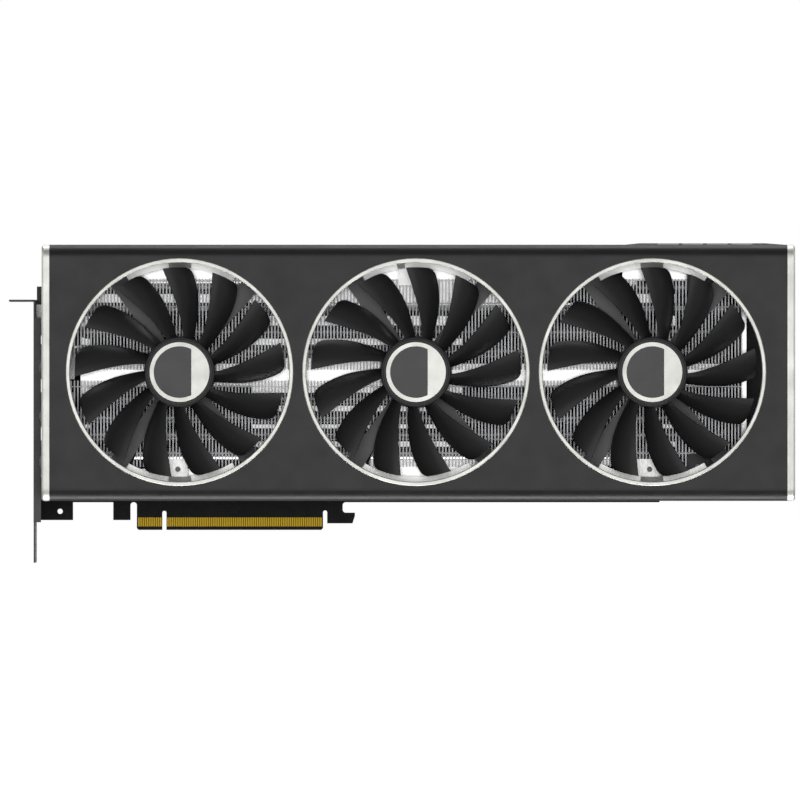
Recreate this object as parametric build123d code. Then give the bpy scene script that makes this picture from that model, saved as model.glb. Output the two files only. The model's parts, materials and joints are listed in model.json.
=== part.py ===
from build123d import *
import math
import os

# A three-fan graphics card, in millimetres.
# +X runs from the slot bracket to the tail, the fans face -Y, +Z is up and the edge contacts point down.
# The origin is the centre of the key notch, on the board's mid plane, at the contacts' lower edge.

# ---- driving dimensions -------------------------------------------------------------------------
BOARD_T = 1.6
BOARD_LEFT, BOARD_RIGHT = -49.0, 226.6
BOARD_BOTTOM, BOARD_TOP = 12.65, 118.7
BOARD_FACE = -BOARD_T / 2

BODY_LEFT, BODY_RIGHT = -55.3, 287.7
BODY_BOTTOM, BODY_TOP = 13.5, 130.2
FRONT = -51.5
BACKPLATE_FACE, BACKPLATE_T = 3.9, 1.6
WALL = 2.0
EDGE_R = 6.0
TRIM_W = 3.5

FAN_X = (7.5, 115.1, 222.7)
FAN_Z = 72.15
RING_OUTER_R, RING_INNER_R = 51.8, 50.0
TIP_R = 47.8
HUB_R = 15.9
BLADES = 13
FAN_TURN = (-1.3, 2.6, 1.8)
BLADE_FRONT, BLADE_BACK = -49.0, -36.5

FRAME_FACE = -9.6
PIPE_R = 3.0
FIN_FRONT, FIN_BACK = -26.0, FRAME_FACE - 2 * PIPE_R
FIN_PITCH, FIN_T = 1.5, 0.35
FIN_LEFT, FIN_RIGHT = -45.5, 266.2
UPPER_FINS = (73.3, 114.8)
LOWER_FINS = (28.9, 68.3)

PIPE_Y = FRAME_FACE - PIPE_R
PIPE_Z = (35.1, 43.5, 51.3, 59.8, 81.6, 90.5, 100.9)
TOP_PIPE_Z = 110.9

BRACKET_X = -59.25
SHEET = 0.86
BRACKET_FRONT, BRACKET_REAR = -35.5, 3.2
BRACKET_TOP, BRACKET_FOOT = 105.2, -14.8
BRACKET_SHOULDER = 3.7

CHIP = (88.0, 68.0)
SPRING_OFFSET = 32.0


# ---- helpers ------------------------------------------------------------------------------------
def box(x, y, z):
    """A block between the two ends given for each axis."""
    block = Box(x[1] - x[0], y[1] - y[0], z[1] - z[0])
    return Pos((x[0] + x[1]) / 2, (y[0] + y[1]) / 2, (z[0] + z[1]) / 2) * block


def rod(x, z, r, y):
    """A round rod along Y between the two ends in y."""
    return Pos(x, (y[0] + y[1]) / 2, z) * Rot(90, 0, 0) * Cylinder(r, abs(y[1] - y[0]))


def tube(x, z, r_out, r_in, y):
    return rod(x, z, r_out, y) - rod(x, z, r_in, (y[0] - 1, y[1] + 1))


def rod_x(y, z, r, x):
    """A round rod along X between the two ends in x."""
    return Pos((x[0] + x[1]) / 2, y, z) * Rot(0, 90, 0) * Cylinder(r, x[1] - x[0])


def rod_z(x, y, r, z):
    return Pos(x, y, (z[0] + z[1]) / 2) * Cylinder(r, z[1] - z[0])


def plate(points, y):
    """A flat plate with the outline given as (x, z) points, between the two faces in y."""
    outline = make_face(Polyline(*[(px, -pz) for px, pz in points], close=True))
    return Pos(0, y[0], 0) * Rot(-90, 0, 0) * extrude(outline, y[1] - y[0])


def joined(parts):
    """All the parts as one solid."""
    return parts[0].fuse(*parts[1:]) if len(parts) > 1 else parts[0]


def group(name, solids):
    """Several separate solids in one node."""
    flat = [s for item in solids for s in item.solids()]
    compound = Compound(children=flat)
    compound.label = name
    return compound


def pan_screw(x, z, head_face, inward, head_r=2.2, head_h=1.4, shank_r=1.1, length=6.0):
    """A cross-slotted screw along Y; inward is the direction of its shank."""
    head = rod(x, z, head_r, sorted((head_face, head_face + inward * head_h)))
    shank = rod(x, z, shank_r, sorted((head_face, head_face + inward * (head_h + length))))
    depth = sorted((head_face - inward, head_face + inward * head_h * 0.6))
    slot = 0.5
    cross = box((x - head_r * 0.6, x + head_r * 0.6), depth, (z - slot / 2, z + slot / 2))
    cross += box((x - slot / 2, x + slot / 2), depth, (z - head_r * 0.6, z + head_r * 0.6))
    return head + shank - cross


# ---- board --------------------------------------------------------------------------------------
BOARD_HOLES = [(-43.0, 107.0), (47.0, 114.8), (126.0, 114.8), (222.0, 114.3),
               (-43.0, 19.5), (47.0, 18.6), (126.0, 18.6), (222.0, 18.6)]
EAR_HOLE = (-47.7, 8.5)
EAR_HOLE_R = 1.2
SPRING_HOLES = [(CHIP[0] + i * SPRING_OFFSET, CHIP[1] + k * SPRING_OFFSET)
                for i in (-1, 1) for k in (-1, 1)]


def pcb():
    low, foot, hook, ear_top = BOARD_BOTTOM, 4.5, 3.0, 16.0
    outline = [
        (BOARD_LEFT, BOARD_TOP), (BOARD_LEFT, ear_top), (-56.5, ear_top), (-56.5, foot), (-41.8, foot),
        (-41.8, low), (-23.4, low), (-23.4, foot), (-15.5, foot), (-15.5, low), (-12.6, low),
        (-12.6, 0.8), (-11.8, 0.0), (-0.95, 0.0), (-0.95, 8.7), (0.95, 8.7), (0.95, 0.0),
        (71.8, 0.0), (72.6, 0.8), (72.6, 8.9), (74.5, 8.9), (74.5, hook), (86.1, hook), (87.2, 6.4),
        (87.2, 7.9), (81.6, 7.9), (81.6, low), (BOARD_RIGHT, low), (BOARD_RIGHT, BOARD_TOP),
    ]
    wide = [(-15.5, low), (-12.6, low), (81.6, 7.9), (81.6, low)]
    narrow = [(-0.95, 8.7), (0.95, 8.7), (72.6, 8.9), (74.5, 8.9)]
    board = plate(outline, (-BOARD_T / 2, BOARD_T / 2))
    for corners, r in ((wide, 1.4), (narrow, 0.9)):
        board = fillet([e for e in board.edges().filter_by(Axis.Y)
                        if any(math.dist((e.center().X, e.center().Z), c) < 0.01 for c in corners)], r)
    through = (-2.0, 2.0)
    for x, z in BOARD_HOLES:
        board -= rod(x, z, 1.6, through)
    for x, z in SPRING_HOLES:
        board -= rod(x, z, 1.6, through)
    return board - rod(*EAR_HOLE, EAR_HOLE_R, through)


CONTACT_Z = (1.6, 5.7)


def edge_contacts():
    """Gold fingers on both faces of the board: 11 before the key notch and 71 after it."""
    pitch, width, thick = 1.0, 0.7, 0.06
    first = [-1.65 - i * pitch for i in range(11)]
    second = [1.65 + i * pitch for i in range(71)]
    pads = []
    for x in first + second:
        for face in (-BOARD_T / 2 - thick, BOARD_T / 2):
            pads.append(box((x - width / 2, x + width / 2), (face, face + thick), CONTACT_Z))
    return group("edge_contacts", pads)


def gpu_package():
    half = 23.0
    base = box((CHIP[0] - half, CHIP[0] + half), (BOARD_FACE - 1.4, BOARD_FACE),
               (CHIP[1] - half, CHIP[1] + half))
    return base


def gpu_die():
    return box((CHIP[0] - 12, CHIP[0] + 12), (BOARD_FACE - 2.2, BOARD_FACE - 1.4),
               (CHIP[1] - 10, CHIP[1] + 10))


MEMORY_AT = [(CHIP[0] + x, CHIP[1] + z) for x, z in
             [(-36, -19), (-36, 0), (-36, 19), (36, -19), (36, 0), (36, 19),
              (-15, 34), (0, 34), (15, 34), (-15, -34), (0, -34), (15, -34)]]


def memory_chips():
    chips = []
    for x, z in MEMORY_AT:
        wide = abs(x - CHIP[0]) > 30
        a, b = (7, 6) if wide else (6, 7)
        chips.append(box((x - a, x + a), (BOARD_FACE - 1.1, BOARD_FACE), (z - b, z + b)))
    return group("memory_chips", chips)


def thermal_pads():
    pads = []
    for x, z in MEMORY_AT:
        pads.append(box((x - 5.5, x + 5.5), (BOARD_FACE - 2.2, BOARD_FACE - 1.1), (z - 5.5, z + 5.5)))
    return group("thermal_pads", pads)


CHOKE_X = (10.0, 150.0)
CHOKE_ROWS = 8
CHOKE_PITCH = 11.0
CHOKE_BOTTOM = 28.0


def choke_places():
    return [(x, CHOKE_BOTTOM + CHOKE_PITCH * i) for x in CHOKE_X for i in range(CHOKE_ROWS)]


def power_chokes():
    half = 4.2
    return group("power_chokes", [
        chamfer(box((x - half, x + half), (BOARD_FACE - 5.0, BOARD_FACE), (z - half, z + half))
                .edges().filter_by(Axis.Y), 0.8)
        for x, z in choke_places()])


def power_stages():
    side = {CHOKE_X[0]: -8.5, CHOKE_X[1]: 8.5}
    return group("power_stages", [
        box((x + side[x] - 2.5, x + side[x] + 2.5), (BOARD_FACE - 1.0, BOARD_FACE), (z - 3, z + 3))
        for x, z in choke_places()])


def capacitors():
    cans = []
    for x in (-4.5, 167.5):
        for i in range(7):
            z = 33.5 + 11.0 * i
            cans.append(rod(x, z, 3.1, (BOARD_FACE - 5.6, BOARD_FACE)))
    return group("capacitors", cans)


# ---- sockets on the board -----------------------------------------------------------------------
POWER_X = (173.5, 197.5)
POWER_Y = (-12.8, BOARD_FACE)
POWER_Z = (105.8, 121.8)
POWER_W = 19.6
PIN_PITCH = 4.2


def power_places():
    """Centres of the eight ways of each power socket, as (x, y)."""
    return [(x0 + PIN_PITCH * (i - 1.5), y) for x0 in POWER_X for i in range(4) for y in (-4.9, -9.1)]


def power_sockets():
    housings = []
    for x0 in POWER_X:
        shell = box((x0 - POWER_W / 2, x0 + POWER_W / 2), POWER_Y, POWER_Z)
        for x, y in power_places():
            if abs(x - x0) < POWER_W / 2:
                shell -= box((x - 1.75, x + 1.75), (y - 1.75, y + 1.75), (POWER_Z[0] + 3, POWER_Z[1] + 1))
        latch = box((x0 - 2.2, x0 + 2.2), (POWER_Y[0] - 1.4, POWER_Y[0]), (POWER_Z[0] + 9, POWER_Z[1]))
        housings.append(shell + latch)
    return group("power_sockets", housings)


def power_pins():
    return group("power_pins", [
        rod_z(x, y, 0.55, (POWER_Z[0] + 3, POWER_Z[1] - 3)) for x, y in power_places()])


PORT_Y = -6.5
PORT_LEN = 18.0
PORT_LEFT = BRACKET_X + 0.3
VIDEO_PORT_Z = (33.0, 55.0, 77.0)
WIDE_PORT_Z = 96.0
VIDEO_PORT = (16.1, 4.9)
WIDE_PORT = (14.2, 4.7)


def port_profile(z, size, trim):
    """The outline of a socket with two slanted corners, in the plane across X."""
    a, b = size[0] / 2 - trim, size[1] / 2 - trim
    c = size[1] * 0.42
    points = [(-b, -a), (b, -a), (b, a - c), (b - c, a), (-b, a)]
    return [(PORT_Y + y, z + dz) for y, dz in points]


def extrude_x(points, x):
    """A prism along X with the outline given as (y, z) points."""
    outline = Plane.YZ.offset(x[0]) * make_face(Polyline(*points, close=True))
    return extrude(outline, x[1] - x[0])


def port_shell(z, size):
    shell = extrude_x(port_profile(z, size, 0.0), (PORT_LEFT, PORT_LEFT + PORT_LEN))
    return shell - extrude_x(port_profile(z, size, 0.5), (PORT_LEFT - 1, PORT_LEFT + PORT_LEN - 3.5))


def port_foot(z, size):
    """The solder foot that carries a socket on the board."""
    half = size[0] / 2 - 1.5
    reach = (PORT_LEFT + 7, PORT_LEFT + PORT_LEN)
    return box(reach, (PORT_Y + size[1] / 2, BOARD_FACE), (z - half, z + half))


def video_ports():
    shells = [port_shell(z, VIDEO_PORT) + port_foot(z, VIDEO_PORT) for z in VIDEO_PORT_Z]
    return group("video_ports", shells)


def wide_video_port():
    return port_shell(WIDE_PORT_Z, WIDE_PORT) + port_foot(WIDE_PORT_Z, WIDE_PORT)


def port_tongues():
    tongues = []
    for z in VIDEO_PORT_Z + (WIDE_PORT_Z,):
        tongues.append(box((PORT_LEFT + 2.0, PORT_LEFT + PORT_LEN - 3.5), (PORT_Y - 0.6, PORT_Y + 0.6),
                           (z - 5.0, z + 5.0)))
    return group("port_tongues", tongues)


HEADER_X, HEADER_Z = 205.0, 26.0


def fan_header():
    body = box((HEADER_X - 5.5, HEADER_X + 5.5), (BOARD_FACE - 5.5, BOARD_FACE),
               (HEADER_Z - 2.4, HEADER_Z + 2.4))
    return body - box((HEADER_X - 4.9, HEADER_X + 4.9), (BOARD_FACE - 6.5, BOARD_FACE - 1.2),
                      (HEADER_Z - 1.8, HEADER_Z + 1.8))


SWITCH_X, SWITCH_Z = -30.0, 116.7
SWITCH_TRAVEL = 2.0


def bios_switch_housing():
    body = box((SWITCH_X - 4.5, SWITCH_X + 4.5), (BOARD_FACE - 4.0, BOARD_FACE), (SWITCH_Z - 2, SWITCH_Z + 2))
    half = SWITCH_TRAVEL / 2 + 0.85
    return body - box((SWITCH_X - half, SWITCH_X + half), (BOARD_FACE - 2.9, BOARD_FACE - 1.1),
                      (SWITCH_Z - 0.5, SWITCH_Z + 3))


def bios_switch_slider():
    """The switch's button, at the end of its travel nearest the bracket."""
    x = SWITCH_X - SWITCH_TRAVEL / 2
    return box((x - 0.75, x + 0.75), (BOARD_FACE - 2.8, BOARD_FACE - 1.2), (SWITCH_Z - 0.4, SWITCH_Z + 4.0))


# ---- cooler -------------------------------------------------------------------------------------
PLATE_Y = (-8.2, BOARD_FACE - 2.2)
FRAME_Y = (FRAME_FACE, PLATE_Y[0])
FRAME_Z = (20.9, 123.5)
FRAME_WINDOWS = [((-34.0, 40.0), (28.0, 66.0)), ((-34.0, 40.0), (76.0, 104.0)),
                 ((136.0, 228.0), (33.0, 66.0)), ((136.0, 228.0), (76.0, 100.0)),
                 ((234.0, 260.0), (28.0, 66.0)), ((234.0, 260.0), (76.0, 112.0))]


def cold_plate():
    """The nickel-plated copper plate on the die, tapped for the four retention screws."""
    block = box((CHIP[0] - 44, CHIP[0] + 44), PLATE_Y, (CHIP[1] - 42, CHIP[1] + 42))
    for x, z in SPRING_HOLES:
        block -= rod(x, z, 1.4, (-6.2, PLATE_Y[1] + 1))
    return block


def heatsink_frame():
    """The nickel-plated sheet that carries the pipes and fins, open between its bands."""
    sheet = box((FIN_LEFT, FIN_RIGHT), FRAME_Y, FRAME_Z)
    through = (FRAME_Y[0] - 1, FRAME_Y[1] + 1)
    sheet -= box((POWER_X[0] - 12, POWER_X[1] + 12), through, (104.0, FRAME_Z[1] + 1))
    sheet -= box((HEADER_X - 8, HEADER_X + 8), through, (FRAME_Z[0] - 1, 29.6))
    sheet -= box((FIN_LEFT - 1, -38.2), through, (FRAME_Z[0] - 1, 106.5))
    for x, z in FRAME_WINDOWS:
        sheet -= box(x, through, z)
    return sheet


def heat_pipe(z, left, right):
    """A round-ended pipe along X."""
    pipe = rod_x(PIPE_Y, z, PIPE_R, (left + PIPE_R, right - PIPE_R))
    pipe += Pos(left + PIPE_R, PIPE_Y, z) * Sphere(PIPE_R)
    return pipe + Pos(right - PIPE_R, PIPE_Y, z) * Sphere(PIPE_R)


def heat_pipes():
    """Seven long pipes and, above them, two short ones either side of the power sockets."""
    left, right = FIN_LEFT + 3, FIN_RIGHT - 3
    pipes = [heat_pipe(z, left + 4 * (i % 2), right - 6 * (i % 3)) for i, z in enumerate(PIPE_Z)]
    pipes.append(heat_pipe(TOP_PIPE_Z, left, 62.0))
    pipes.append(heat_pipe(TOP_PIPE_Z, POWER_X[1] + 16, right))
    return group("heat_pipes", pipes)


def fin_stack(span):
    """Folded fins across X, joined by flanges along their rear edges, which rest on the pipes."""
    spine = 0.4
    count = int((FIN_RIGHT - FIN_LEFT) / FIN_PITCH) - 1
    points = [(FIN_LEFT, FIN_BACK), (FIN_LEFT + count * FIN_PITCH + FIN_T, FIN_BACK)]
    for i in range(count, -1, -1):
        x = FIN_LEFT + i * FIN_PITCH
        if i < count:
            points.append((x + FIN_T, FIN_BACK - spine))
        points += [(x + FIN_T, FIN_FRONT), (x, FIN_FRONT)]
        if i > 0:
            points.append((x, FIN_BACK - spine))
    return Pos(0, 0, span[0]) * extrude(make_face(Polyline(*points, close=True)), span[1] - span[0])


def fin_stack_upper():
    return fin_stack(UPPER_FINS)


def fin_stack_lower():
    return fin_stack(LOWER_FINS)


def retention_plate():
    """The cross-shaped spring plate behind the chip."""
    arm = SPRING_OFFSET + 4.5
    sheet = box((CHIP[0] - arm, CHIP[0] + arm), (BOARD_T / 2, 2.0), (CHIP[1] - arm, CHIP[1] + arm))
    for sx, sz in ((1, 0), (-1, 0), (0, 1), (0, -1)):
        sheet -= rod(CHIP[0] + sx * 44, CHIP[1] + sz * 44, 27.0, (0, 3))
    sheet -= rod(CHIP[0], CHIP[1], 9.0, (0, 3))
    for x, z in SPRING_HOLES:
        sheet -= rod(x, z, 1.6, (0, 3))
    return sheet


def retention_screws():
    return group("retention_screws", [
        pan_screw(x, z, 5.4, -1, head_r=2.9, head_h=0.9, shank_r=1.4, length=10.4) for x, z in SPRING_HOLES])


def retention_springs():
    """Coil springs between the retention plate and the screw heads."""
    wire = 0.22
    low, high = 2.0 + wire, 4.5 - wire
    springs = []
    for x, z in SPRING_HOLES:
        path = Helix(pitch=(high - low) / 3, height=high - low, radius=2.2)
        start = path @ 0
        section = Plane(origin=start, z_dir=path % 0) * Circle(wire)
        coil = sweep(section, path=path, is_frenet=True)
        springs.append(Pos(x, low, z) * Rot(-90, 0, 0) * coil)
    return group("retention_springs", springs)


# ---- fans ---------------------------------------------------------------------------------------
BASE_Y = (-35.6, -32.4)
SLEEVE_R, SHAFT_R, BORE_R = 3.2, 1.5, 1.55
CUP_Y = (-50.4, -36.6)
CUP_INNER_R = 14.4
STRUT_ANGLES = (51.0, 124.0, 236.0, 309.0)
STRUT_END_R = 56.0
SCREW_R = 53.6
LEAD_R = 0.7


def fan_frame(x0):
    """Motor base, four struts that widen outward and the sleeve's post, seen as one moulding."""
    frame = rod(x0, FAN_Z, 16.4, BASE_Y)
    frame += rod(x0, FAN_Z, 4.6, (-39.4, BASE_Y[0]))
    for angle in STRUT_ANGLES:
        ca, sa = math.cos(math.radians(angle)), math.sin(math.radians(angle))
        corners = [(14.0, -2.4), (STRUT_END_R, -4.4), (STRUT_END_R, 4.4), (14.0, 2.4)]
        outline = [(x0 + r * ca - w * sa, FAN_Z + r * sa + w * ca) for r, w in corners]
        frame += plate(outline, (BASE_Y[0] + 0.6, BASE_Y[1]))
    for angle in STRUT_ANGLES:
        ca, sa = math.cos(math.radians(angle)), math.sin(math.radians(angle))
        frame -= rod(x0 + SCREW_R * ca, FAN_Z + SCREW_R * sa, 1.3, (-40, -30))
    return frame - rod(x0, FAN_Z, SLEEVE_R, (-41, -33.6))


def fan_frames():
    return group("fan_frames", [fan_frame(x) for x in FAN_X])


def fan_screws():
    """Screws that hold the frames' struts to the shroud's bosses from behind."""
    screws = []
    for x0 in FAN_X:
        for angle in STRUT_ANGLES:
            ca, sa = math.cos(math.radians(angle)), math.sin(math.radians(angle))
            screws.append(pan_screw(x0 + SCREW_R * ca, FAN_Z + SCREW_R * sa, BASE_Y[1] + 1.2, -1,
                                    head_r=2.3, head_h=1.2, shank_r=1.1, length=7.0))
    return group("fan_screws", screws)


def bearing_sleeves():
    return group("bearing_sleeves", [tube(x, FAN_Z, SLEEVE_R, BORE_R, (-47.0, -33.6)) for x in FAN_X])


def stators():
    """Laminated cores with nine wound poles each."""
    cores = []
    for x in FAN_X:
        core = tube(x, FAN_Z, 11.4, SLEEVE_R, (-46.2, -39.6))
        for i in range(9):
            turn = math.radians(40 * i)
            core -= rod(x + 9.4 * math.cos(turn), FAN_Z + 9.4 * math.sin(turn), 1.7, (-47, -39))
        cores.append(core)
    return group("stators", cores)


def blade_section(r):
    """The blade's section in the plane at radius r: leading edge forward on the left, trailing edge aft."""
    centre = 15.8 - 16.1 * (r - 15.0) / 32.6
    width = 18.3 - 3.5 * ((r - 33.0) / 16.0) ** 2
    half = r * math.tan(math.radians(width / 2))
    depth = 5.6 - 1.7 * (r - 15.0) / 32.6
    thick = 0.95 - 0.35 * (r - 15.0) / 32.6
    half_chord = math.hypot(half, depth)
    nu, nv = depth / half_chord, -half / half_chord
    camber = 0.16 * half_chord
    lead, trail = (-half, -depth), (half, depth)
    mid_front = (nu * (camber + thick), nv * (camber + thick))
    mid_back = (nu * (camber - thick), nv * (camber - thick))
    edge = 0.28
    lead_pair = [(lead[0] + nu * s, lead[1] + nv * s) for s in (edge, -edge)]
    trail_pair = [(trail[0] + nu * s, trail[1] + nv * s) for s in (edge, -edge)]
    outer = Spline(lead_pair[0], mid_front, trail_pair[0])
    inner = Spline(trail_pair[1], mid_back, lead_pair[1])
    ring = [outer, Line(trail_pair[0], trail_pair[1]), inner, Line(lead_pair[1], lead_pair[0])]
    face = make_face(ring)
    turn = math.radians(centre)
    radial = Vector(math.sin(turn), 0, math.cos(turn))
    across = Vector(math.cos(turn), 0, -math.sin(turn))
    mid_y = (BLADE_FRONT + BLADE_BACK) / 2
    place = Plane(origin=radial * r + Vector(0, mid_y, 0), x_dir=across, z_dir=radial)
    return place * face


def blade():
    body = loft([blade_section(r) for r in (14.9, 23.0, 31.0, 39.0, 48.5)])
    rounded = rod(0, 0, TIP_R, (BLADE_FRONT - 3, BLADE_BACK + 3))
    return body & rounded


def hub():
    cup = rod(0, 0, HUB_R, CUP_Y)
    cup = fillet(cup.edges().filter_by(GeomType.CIRCLE).sort_by(Axis.Y)[0], 0.9)
    cup -= rod(0, 0, CUP_INNER_R, (-48.6, CUP_Y[1] + 1))
    cup += rod(0, 0, 3.4, (-48.6, -47.4))
    cup -= rod(0, 0, SHAFT_R, (-49.2, -47.0))
    return cup - rod(0, 0, 13.7, (CUP_Y[0] - 1, CUP_Y[0] + 0.7))


def fan_rotor_shape():
    """Hub and 13 swept blades about the origin's Y axis."""
    one = blade()
    blades = [Rot(0, i * 360.0 / BLADES, 0) * one for i in range(BLADES)]
    return joined([hub()] + blades)


BADGE_Y = (CUP_Y[0] - 0.1, CUP_Y[0] + 0.7)
CHORD_X = 5.35


def hub_badge(x0):
    """Silver ring with a filled segment on its right."""
    disc = rod(x0, FAN_Z, 13.6, BADGE_Y)
    window = rod(x0, FAN_Z, 11.75, (BADGE_Y[0] - 1, BADGE_Y[1] + 1))
    window &= box((x0 - 14, x0 + CHORD_X), (BADGE_Y[0] - 1, BADGE_Y[1] + 1), (FAN_Z - 14, FAN_Z + 14))
    return disc - window


def hub_disc(x0):
    """Grey disc in the badge's window."""
    disc = rod(x0, FAN_Z, 11.7, (BADGE_Y[0] + 0.2, BADGE_Y[1]))
    return disc & box((x0 - 14, x0 + CHORD_X - 0.05), (-52, -48), (FAN_Z - 14, FAN_Z + 14))


def magnet(x0):
    return tube(x0, FAN_Z, CUP_INNER_R, 12.3, (-47.4, -38.0))


def shaft(x0):
    return rod(x0, FAN_Z, SHAFT_R, (-49.2, -34.4))


# ---- casing -------------------------------------------------------------------------------------
SHELL_X = (BODY_LEFT + TRIM_W, BODY_RIGHT - TRIM_W)
TAIL_X = 233.0
SIDE_BACK = -6.0
PORT_BACK = -12.0
FACE_BACK = FRONT + 2.4
RAIL_X = (210.1, SHELL_X[1] - 0.6)
BACK_Y = (BACKPLATE_FACE, BACKPLATE_FACE + BACKPLATE_T)
TAIL_SCREWS = [(x, z) for x in (238.0, 279.2) for z in (18.5, 125.2)]


def rounded_bar(x, y, z, r):
    """A block along X with its two front edges rounded."""
    bar = box(x, y, z)
    edges = bar.edges().filter_by(Axis.X).group_by(Axis.Y)[0]
    return fillet(edges, r)


def fan_shroud():
    shell = rounded_bar(SHELL_X, (FRONT, BACKPLATE_FACE), (BODY_BOTTOM, BODY_TOP), EDGE_R)
    shell -= rounded_bar((SHELL_X[0] + WALL, SHELL_X[1] - WALL), (FACE_BACK, BACKPLATE_FACE + 1),
                         (BODY_BOTTOM + WALL, BODY_TOP - WALL), EDGE_R - WALL)
    shell -= box((SHELL_X[0] - 1, TAIL_X), (SIDE_BACK, 10), (0, 140))
    shell -= box((SHELL_X[0] - 1, -34.0), (PORT_BACK, 10), (0, 140))
    shell -= box((-34.0, RAIL_X[0] - 1.5), (-26.0, 10), (0, 140)) - box((-35, 215), (-52, 11), (20, 126))
    shell -= box((SHELL_X[0] - 1, SHELL_X[0] + WALL + 1), (-42.0, 10), (30.0, 116.0))
    shell -= box((SHELL_X[1] - WALL - 1, SHELL_X[1] + 1), (-34.0, -10.0), (34.0, 112.0))
    for x in FAN_X:
        shell += tube(x, FAN_Z, RING_OUTER_R + 1.0, RING_INNER_R + 0.7, (FACE_BACK - 0.5, -40.0))
        for angle in STRUT_ANGLES:
            ca, sa = math.cos(math.radians(angle)), math.sin(math.radians(angle))
            shell += rod(x + SCREW_R * ca, FAN_Z + SCREW_R * sa, 3.2, (FACE_BACK - 0.5, -35.0))
    for x, z in TAIL_SCREWS:
        shell += rod(x, z, 3.2, (-7.0, BACKPLATE_FACE))
        shell -= rod(x, z, 1.1, (-4.0, BACKPLATE_FACE + 1))
    for x in FAN_X:
        shell -= rod(x, FAN_Z, RING_INNER_R + 0.7, (FRONT - 1, -34.0))
        shell -= rod(x, FAN_Z, RING_OUTER_R, (FRONT - 1, FRONT + 1.2))
        for angle in STRUT_ANGLES:
            ca, sa = math.cos(math.radians(angle)), math.sin(math.radians(angle))
            shell -= rod(x + SCREW_R * ca, FAN_Z + SCREW_R * sa, 1.1, (-42.2, -34.0))
    return shell


def fan_rings():
    """Silver trim rings pressed into the shroud's openings."""
    rings = []
    for x in FAN_X:
        flat = tube(x, FAN_Z, RING_OUTER_R, RING_INNER_R, (FRONT - 0.35, FRONT + 1.2))
        flat = chamfer(flat.edges().filter_by(GeomType.CIRCLE).group_by(Axis.Y)[0], 0.3)
        skirt = tube(x, FAN_Z, RING_INNER_R + 0.7, RING_INNER_R, (FRONT + 1.0, -48.0))
        rings.append(flat + skirt)
    return group("fan_rings", rings)


BRACE_R = (47.7, 50.6)
BRACE_Y = (-32.2, -30.8)
TAB_AT = {0: -1, 1: 1, 2: -1}


def fan_braces():
    """Bright arcs above and below each fan that tie the struts, one of each pair with a screw tab."""
    pieces = []
    for i, x in enumerate(FAN_X):
        for side in (-1, 1):
            arc = tube(x, FAN_Z, BRACE_R[1], BRACE_R[0], BRACE_Y)
            reach = 60.0
            spread = reach * math.tan(math.radians(30.0))
            wedge = [(x, FAN_Z), (x - spread, FAN_Z + side * reach), (x + spread, FAN_Z + side * reach)]
            arc &= plate(wedge, (BRACE_Y[0] - 1, BRACE_Y[1] + 1))
            if TAB_AT[i] == side:
                near, far = FAN_Z + side * 39.6, FAN_Z + side * 49.0
                z = sorted((near, far))
                tab = box((x - 8.0, x + 3.4), (-27.4, -26.2), z)
                tab -= rod(x - 1.0, (near + far) / 2, 0.9, (-29, -25))
                web = sorted((far - side * 1.2, far))
                tab += box((x - 8.0, x + 3.4), (BRACE_Y[0], -26.2), web)
                arc += tab
            pieces.append(arc)
    return group("fan_braces", pieces)


PADS = ((0, 1, -6.0, 6.0), (0, -1, -6.0, 6.0), (1, 1, -10.0, -6.0), (2, 1, -6.0, 6.0), (2, -1, -6.0, 6.0))
PAD_T = 0.8


def brace_pads():
    """Rubber pads on the arcs' middles, each given as its fan, its side and its two bearings in degrees."""
    pads = []
    for fan, side, start, end in PADS:
        x = FAN_X[fan]
        y = (BRACE_Y[0] - PAD_T, BRACE_Y[0])
        ends = [(x + 60 * math.sin(math.radians(a)), FAN_Z + side * 60 * math.cos(math.radians(a)))
                for a in (start, end)]
        ring = tube(x, FAN_Z, BRACE_R[1], BRACE_R[0], y)
        pads.append(ring & plate([(x, FAN_Z)] + ends, (y[0] - 1, y[1] + 1)))
    return group("brace_pads", pads)


TAIL_BRACE_X = 238.8
TAIL_BRACE_Z = ((108.3, 123.5), (21.6, 34.9))
TAIL_HOLES = [(243.8, low + 7.3) for low, high in TAIL_BRACE_Z]


def brace_screws():
    """The screws of the fan braces' tabs and of the two tail braces."""
    places = [(x - 1.0, FAN_Z + TAB_AT[i] * 44.3, -28.4) for i, x in enumerate(FAN_X)]
    places += [(x, z, -29.0) for x, z in TAIL_HOLES]
    return group("brace_screws", [
        pan_screw(x, z, face, 1, head_r=1.2, head_h=1.0, shank_r=0.85, length=1.1) for x, z, face in places])


def tail_braces():
    """Two dark stamped plates that tie the fins' tail to the casing, above and below the last fan."""
    plates = []
    for z, hole in zip(TAIL_BRACE_Z, TAIL_HOLES):
        stamped = box((TAIL_BRACE_X, SHELL_X[1] - WALL), (-28.0, -26.6), z)
        stamped = fillet(stamped.edges().filter_by(Axis.Y), 1.5)
        plates.append(stamped - rod(*hole, 0.9, (-30, -25)))
    return group("tail_braces", plates)


def trim(x, back):
    """A bright end trim that wraps the front, top and bottom of the casing."""
    bar = rounded_bar(x, (FRONT, back), (BODY_BOTTOM, BODY_TOP), EDGE_R)
    bar -= rounded_bar((x[0] - 1, x[1] + 1), (FRONT + 3.6, back + 1), (BODY_BOTTOM + 3, BODY_TOP - 3),
                       EDGE_R - 3)
    outer = x[0] if x[0] < 0 else x[1]
    rims = [e for e in bar.edges() if abs(e.center().X - outer) < 0.01
            and (e.center().Z > BODY_TOP - 2 or e.center().Z < BODY_BOTTOM + 2 or e.center().Y < FRONT + 1.8)]
    return chamfer(rims, 0.8)


def trim_left():
    return trim((BODY_LEFT, SHELL_X[0]), PORT_BACK)


def trim_right():
    return trim((SHELL_X[1], BODY_RIGHT), BACKPLATE_FACE)


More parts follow.
